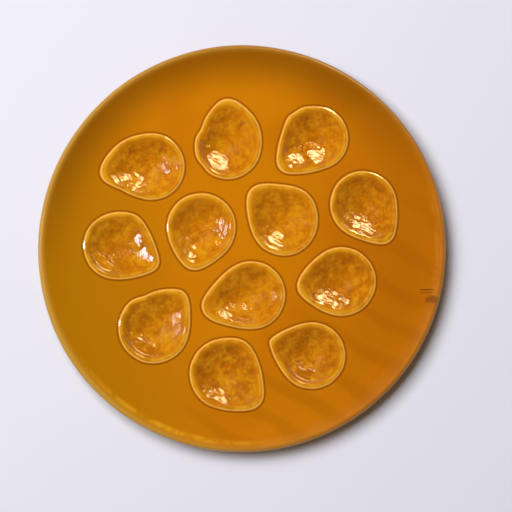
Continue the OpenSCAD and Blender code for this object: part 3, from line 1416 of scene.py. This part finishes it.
@dataclass(frozen=True)
class BareClay:
    """Bare fired earthenware, matt and slightly grainy."""

    name: str = "bare_clay"
    clay: Tint = (214, 186, 146)
    burnt: Tint = (178, 140, 98)
    grit: Tint = (120, 88, 62)
    cloud_length: float = 22 * MM
    sand_length: float = 0.9 * MM
    relief_h: float = 0.2 * MM

    def material(self) -> bpy.types.Material:
        """Makes the material.

        Returns:
            The new material.
        """
        tree = ShaderTree(bpy.data.materials.new(self.name))
        place = tree.place()[0]
        cloud = tree.grain(place, self.cloud_length, 4.0, 1.0)
        sand = tree.grain(place, self.sand_length, 2.0, 2.0)
        washes = (Wash(self.burnt, 0.7, cloud, 0.4, 0.7), Wash(self.grit, 0.6, sand, 0.62, 0.72))
        return tree.surface({
            "Base Color": tree.washed(paint(self.clay), washes),
            "Roughness": 0.75 + 0.15 * sand,
            "Normal": tree.bump(sand, self.relief_h, 0.5),
        })


@dataclass(frozen=True)
class PaperFloor:
    """A plain pale floor that fades into the backdrop far away from the plate."""

    name: str = "pale_floor"
    fade: Span = (0.8, 1.7)
    pale: Tint = (228, 231, 252)

    def material(self) -> bpy.types.Material:
        """Makes the material.

        Returns:
            The new material.
        """
        tree = ShaderTree(bpy.data.materials.new(self.name))
        x, y = tree.place()[1:]
        near, far = self.fade
        return tree.surface({
            "Base Color": paint(self.pale), "Roughness": 0.9, "Specular IOR Level": 0.1,
            "Alpha": (x * x + y * y).eased(far * far, near * near)})


@dataclass
class PlatePiece:
    """A piece of the plate, which stands for one of its solids and has its own finish."""

    form: PlateForm
    finish: Union[BareClay, HoneyGlaze]
    name: str = ""
    node: str = ""
    slot: str = ""

    def draw(self, draft: MeshDraft) -> None:
        """Adds the faces of the piece to a mesh."""
        raise NotImplementedError

    def build(self) -> bpy.types.Object:
        """Builds the piece as a closed mesh.

        Returns:
            The new piece.
        """
        draft = MeshDraft()
        self.draw(draft)
        return draft.piece(self.name)

    def dress(self, piece: bpy.types.Object) -> None:
        """Gives the piece its finish and lets it stand for its solid.

        Args:
            piece: The piece that was built.
        """
        piece.data.materials.append(self.finish.material())
        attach(piece, BODY)
        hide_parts(self.node)
        log.info("%s: %d vertices, %d faces", piece.name, len(piece.data.vertices), len(piece.data.polygons))


@dataclass
class ClayBody(PlatePiece):
    """The fired clay: face, back, bulges and foot ring. Only its tread shows."""

    finish: BareClay = BareClay()
    name: str = "fired_clay"
    node: str = "clay_body"
    slot: str = "clay"
    rise_steps: int = 10
    lip_steps: int = 6
    hollow_steps: int = 6
    low_side: Span = (1.6 * MM, 2.6 * MM)
    side_out: float = 4 * MM
    side_in: float = 6 * MM
    ease: float = 0.3

    def draw(self, draft: MeshDraft) -> None:
        """Adds the face, the back with the foot ring, and the underside.

        Args:
            draft: The mesh.
        """
        form, section = self.form, self.form.section
        glaze, soft = section.glaze_t, section.tread_round
        seam = form.face(draft, glaze, PLAIN)
        inner, outer = section.tread_r
        heights = (soft, *self.low_side)
        down = [(section.foot_outside(h), h) for h in (self.side_out, *heights[::-1])]
        eased_in = self.ease * soft
        tread = [(outer - eased_in, eased_in), (outer - soft, 0.0),
                 (inner + soft, 0.0), (inner + eased_in, eased_in)]
        up = [(section.foot_inside(h), h) for h in (*heights, self.side_in)]
        back = section.rim_back(glaze, self.rise_steps, self.lip_steps)
        profile = np.vstack([back, down, tread, up, section.foot_hollow(glaze, self.hollow_steps)])
        rings = draft.turned(profile[1:], form.hand, section)
        draft.bridge(seam, rings[0])
        form.underside(draft, glaze, rings[-1])


@dataclass
class FaceCoat(PlatePiece):
    """The glaze on the face, from the lip inwards."""

    finish: HoneyGlaze = HoneyGlaze(flaw=GlazeFlaw())
    name: str = "glazed_face"
    node: str = "face_glaze"
    slot: str = "face_glaze"

    def draw(self, draft: MeshDraft) -> None:
        """Adds the skin that shows, the skin on the clay, and the seam that joins them.

        Args:
            draft: The mesh.
        """
        seam = self.form.face(draft, 0.0, FINE)
        start = len(draft.faces)
        under = self.form.face(draft, self.form.section.glaze_t, PLAIN)
        draft.flip(start)
        draft.bridge(seam, under)


@dataclass
class FootCoat(PlatePiece):
    """A coat of glaze on the back that ends in an uneven line on the foot ring."""

    slot: str = "back_glaze"
    line_h: float = 0.45 * MM
    line_length: float = 0.12
    line_skin: float = 0.55
    line_pool: float = 0.3
    line_shares: tuple[float, ...] = (0.5, 0.8, 1.0)

    def hem(self, draft: MeshDraft, shown: np.ndarray, hidden: np.ndarray, top: float,
            clay_r: Callable[[np.ndarray], np.ndarray], side: int, layer: Layer) -> None:
        """Runs both skins of the coat down the foot ring and closes them at the glaze line.

        Args:
            draft: The mesh.
            shown: Lowest ring of the skin that shows.
            hidden: Lowest ring of the skin on the clay.
            top: Height at which the rings lie.
            clay_r: Gives the radius of the clay at a height.
            side: 1 outside the foot ring, -1 inside it.
            layer: The pattern of the glaze line.
        """
        section = self.form.section
        out_way = ways(turns(RIM_POINTS))
        bottom = section.bare_h + self.line_h * waves(out_way, self.line_length, layer.value)

        def join(first: np.ndarray, second: np.ndarray) -> None:
            """Joins two rings so that the faces look away from the clay."""
            draft.bridge(*(first, second)[::side])

        for share in self.line_shares:
            height = top + share * (bottom - top)
            radius = clay_r(height)
            skin = side * section.glaze_t * (1.0 if share < 1 else self.line_skin)
            lower_shown = np.column_stack([out_way * (radius + skin)[:, None], height])
            lower_shown = draft.add(lower_shown, self.line_pool * share)
            lower_hidden = draft.add(np.column_stack([out_way * radius[:, None], height]))
            join(shown, lower_shown)
            join(lower_hidden, hidden)
            shown, hidden = lower_shown, lower_hidden
        join(shown, hidden)


@dataclass
class BackRimCoat(FootCoat):
    """The glaze on the back of the rim, from the lip down to the glaze line on the foot ring."""

    name: str = "glazed_back_rim"
    node: str = "back_rim_glaze"
    rise_steps: int = 14
    lip_steps: int = 10

    def draw(self, draft: MeshDraft) -> None:
        """Adds both skins of the rim's back, and their hem on the outside of the foot ring.

        Args:
            draft: The mesh.
        """
        section, hand = self.form.section, self.form.hand
        shown = draft.turned(section.rim_back(0.0, self.rise_steps, self.lip_steps), hand, section)
        start = len(draft.faces)
        hidden = draft.turned(section.rim_back(section.glaze_t, self.rise_steps, self.lip_steps), hand, section)
        draft.flip(start)
        draft.bridge(hidden[0], shown[0])
        self.hem(draft, shown[-1], hidden[-1], section.fillet_centre[1], section.foot_outside, 1, Layer.RIM_LINE)


@dataclass
class BackCentreCoat(FootCoat):
    """The glaze inside the foot ring, over the underside and the bulges of the wells."""

    name: str = "glazed_back_centre"
    node: str = "back_centre_glaze"
    line_length: float = 0.1
    hollow_steps: int = 6

    def draw(self, draft: MeshDraft) -> None:
        """Adds both skins of the underside, and their hem on the inside of the foot ring.

        Args:
            draft: The mesh.
        """
        section, hand = self.form.section, self.form.hand
        shown = draft.turned(section.foot_hollow(0.0, self.hollow_steps), hand, section)
        self.form.underside(draft, 0.0, shown[-1])
        start = len(draft.faces)
        hollow = section.foot_hollow(section.glaze_t, self.hollow_steps)
        hidden = draft.turned(hollow, hand, section)
        self.form.underside(draft, section.glaze_t, hidden[-1])
        draft.flip(start)
        self.hem(draft, shown[0], hidden[0], hollow[0][1], section.foot_inside, -1, Layer.CENTRE_LINE)


class LampEffect(Enum):
    """What a lamp gives: its light, or its reflection in the glaze."""

    LIGHT = "light"
    GLOSS = "gloss"


@dataclass(frozen=True)
class SoftLamp:
    """A soft lamp: its place, its aim, its size, power, colour and spread in degrees, and what of it counts."""

    name: str
    place: tuple[float, float, float]
    aim: tuple[float, float, float]
    size: Span
    power: float
    tint: Tint
    spread: float
    effect: LampEffect

    def hang(self) -> None:
        """Hangs the lamp."""
        light = bpy.data.lights.new(self.name, "AREA")
        light.shape = "RECTANGLE"
        light.size, light.size_y = self.size
        light.energy = self.power
        light.color = paint(self.tint)[:3]
        light.spread = math.radians(self.spread)
        lamp = bpy.data.objects.new(self.name, light)
        lamp.location = self.place
        lamp.visible_glossy = self.effect is LampEffect.GLOSS
        lamp.visible_diffuse = self.effect is LampEffect.LIGHT
        lamp.rotation_euler = (Vector(self.aim) - Vector(self.place)).to_track_quat("-Z", "Y").to_euler()
        bpy.context.scene.collection.objects.link(lamp)


@dataclass
class Studio:
    """The floor, the light and the camera."""

    section: PlateSection
    elevation: float = 88.6
    distance: float = 2.0
    plate_px: float = 204.0
    image_px: float = 512.0
    centre_px: Span = (242.2, 248.2)
    sensor: float = 36.0
    floor_reach: float = 2.0
    walls: tuple[float, ...] = (0.15, 0.12, 0.05, 1.0)
    ceiling: tuple[float, ...] = (0.05, 0.045, 0.03, 1.0)
    ceiling_at: Span = (0.6, 0.92)
    backdrop: tuple[float, ...] = (0.84, 0.84, 0.88, 1.0)
    backdrop_at: Span = (0.3, 0.05)
    lamps: tuple[SoftLamp, ...] = (
        SoftLamp("softbox", (-1.06, 0.92, 2.76), (0.0, 0.0, 0.02), (2.0, 1.7), 113, (252, 249, 243), 180,
                 LampEffect.LIGHT),
        SoftLamp("far_panel", (0.85, 1.5, 1.23), (0.0, 0.0, 0.02), (1.4, 0.35), 6, (255, 236, 184), 180,
                 LampEffect.GLOSS),
        SoftLamp("skylight", (0.56, 1.1, 0.89), (0.06, 0.08, 0.02), (0.5, 0.32), 0.19, (255, 234, 176), 22,
                 LampEffect.GLOSS),
        SoftLamp("window", (-0.55, 0.023, 0.41), (-0.12, -0.006, 0.015), (0.11, 0.13), 0.011, (240, 234, 255), 13.5,
                 LampEffect.GLOSS),
    )

    def floor(self) -> None:
        """Lays the floor."""
        draft = MeshDraft()
        corners = np.array([(-1, -1, 0), (1, -1, 0), (1, 1, 0), (-1, 1, 0)]) * self.floor_reach
        draft.faces.append(tuple(int(number) for number in draft.add(corners)))
        laid = draft.piece("floor")
        laid.data.materials.append(PaperFloor().material())

    def light(self) -> None:
        """Hangs the lamps and sets the soft light of the room, with a pale backdrop near the horizon."""
        for lamp in self.lamps:
            lamp.hang()
        world = bpy.data.worlds.new("soft_room")
        bpy.context.scene.world = world
        tree = ShaderTree(world)
        view = tree.node("ShaderNodeTexCoord", output="Generated")
        up = tree.node("ShaderNodeSeparateXYZ", {}, {"Vector": view}, "Z")
        room = tree.mix(up.eased(*self.ceiling_at), self.walls, self.ceiling)
        seen, glossy, through = (tree.node("ShaderNodeLightPath", output=f"Is {ray} Ray")
                                 for ray in ("Camera", "Glossy", "Transmission"))
        pale = seen + (glossy + through) * up.eased(*self.backdrop_at)
        sky = tree.node("ShaderNodeBackground", {}, {"Color": tree.mix(pale, room, self.backdrop), "Strength": 1.0})
        tree.node("ShaderNodeOutputWorld", {}, {"Surface": sky})

    def camera(self) -> None:
        """Sets the camera so that the plate fills the frame as in the photograph."""
        lip_z = self.section.lip_centre[1] + self.section.lip_r
        scale = self.section.plate_r / self.plate_px
        half = self.image_px / 2
        aim = Vector(((half - self.centre_px[0]) * scale, (self.centre_px[1] - half) * scale, lip_z))
        lift = math.radians(self.elevation)
        lens = bpy.data.cameras.new("camera")
        lens.sensor_width = self.sensor
        lens.lens = self.sensor / 2 * self.distance / (half * scale)
        stand = bpy.data.objects.new("camera", lens)
        stand.location = aim + self.distance * Vector((0.0, -math.cos(lift), math.sin(lift)))
        stand.rotation_euler = (math.radians(90 - self.elevation), 0.0, 0.0)
        bpy.context.scene.collection.objects.link(stand)
        bpy.context.scene.camera = stand

    def build(self) -> None:
        """Sets up the whole studio."""
        self.floor()
        self.light()
        self.camera()
        bpy.context.scene.view_settings.view_transform = "Standard"
        log.info("studio: %d lamps", len(self.lamps))


def main() -> None:
    """Builds and dresses the plate piece by piece, then sets up the studio."""
    logging.basicConfig(level=logging.INFO, format="%(name)s: %(message)s")
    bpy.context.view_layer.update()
    section = PlateSection.from_frame()
    form = PlateForm(section, OUTER_RING.wells(0.0) + INNER_RING.wells(INNER_SEED))
    back_glaze = HoneyGlaze(name="honey_glaze_back", gloss=0.14)
    for part in (ClayBody(form), FaceCoat(form), BackRimCoat(form, back_glaze), BackCentreCoat(form, back_glaze)):
        part.dress(part.build())
    Studio(section).build()


if __name__ == "__main__":
    main()
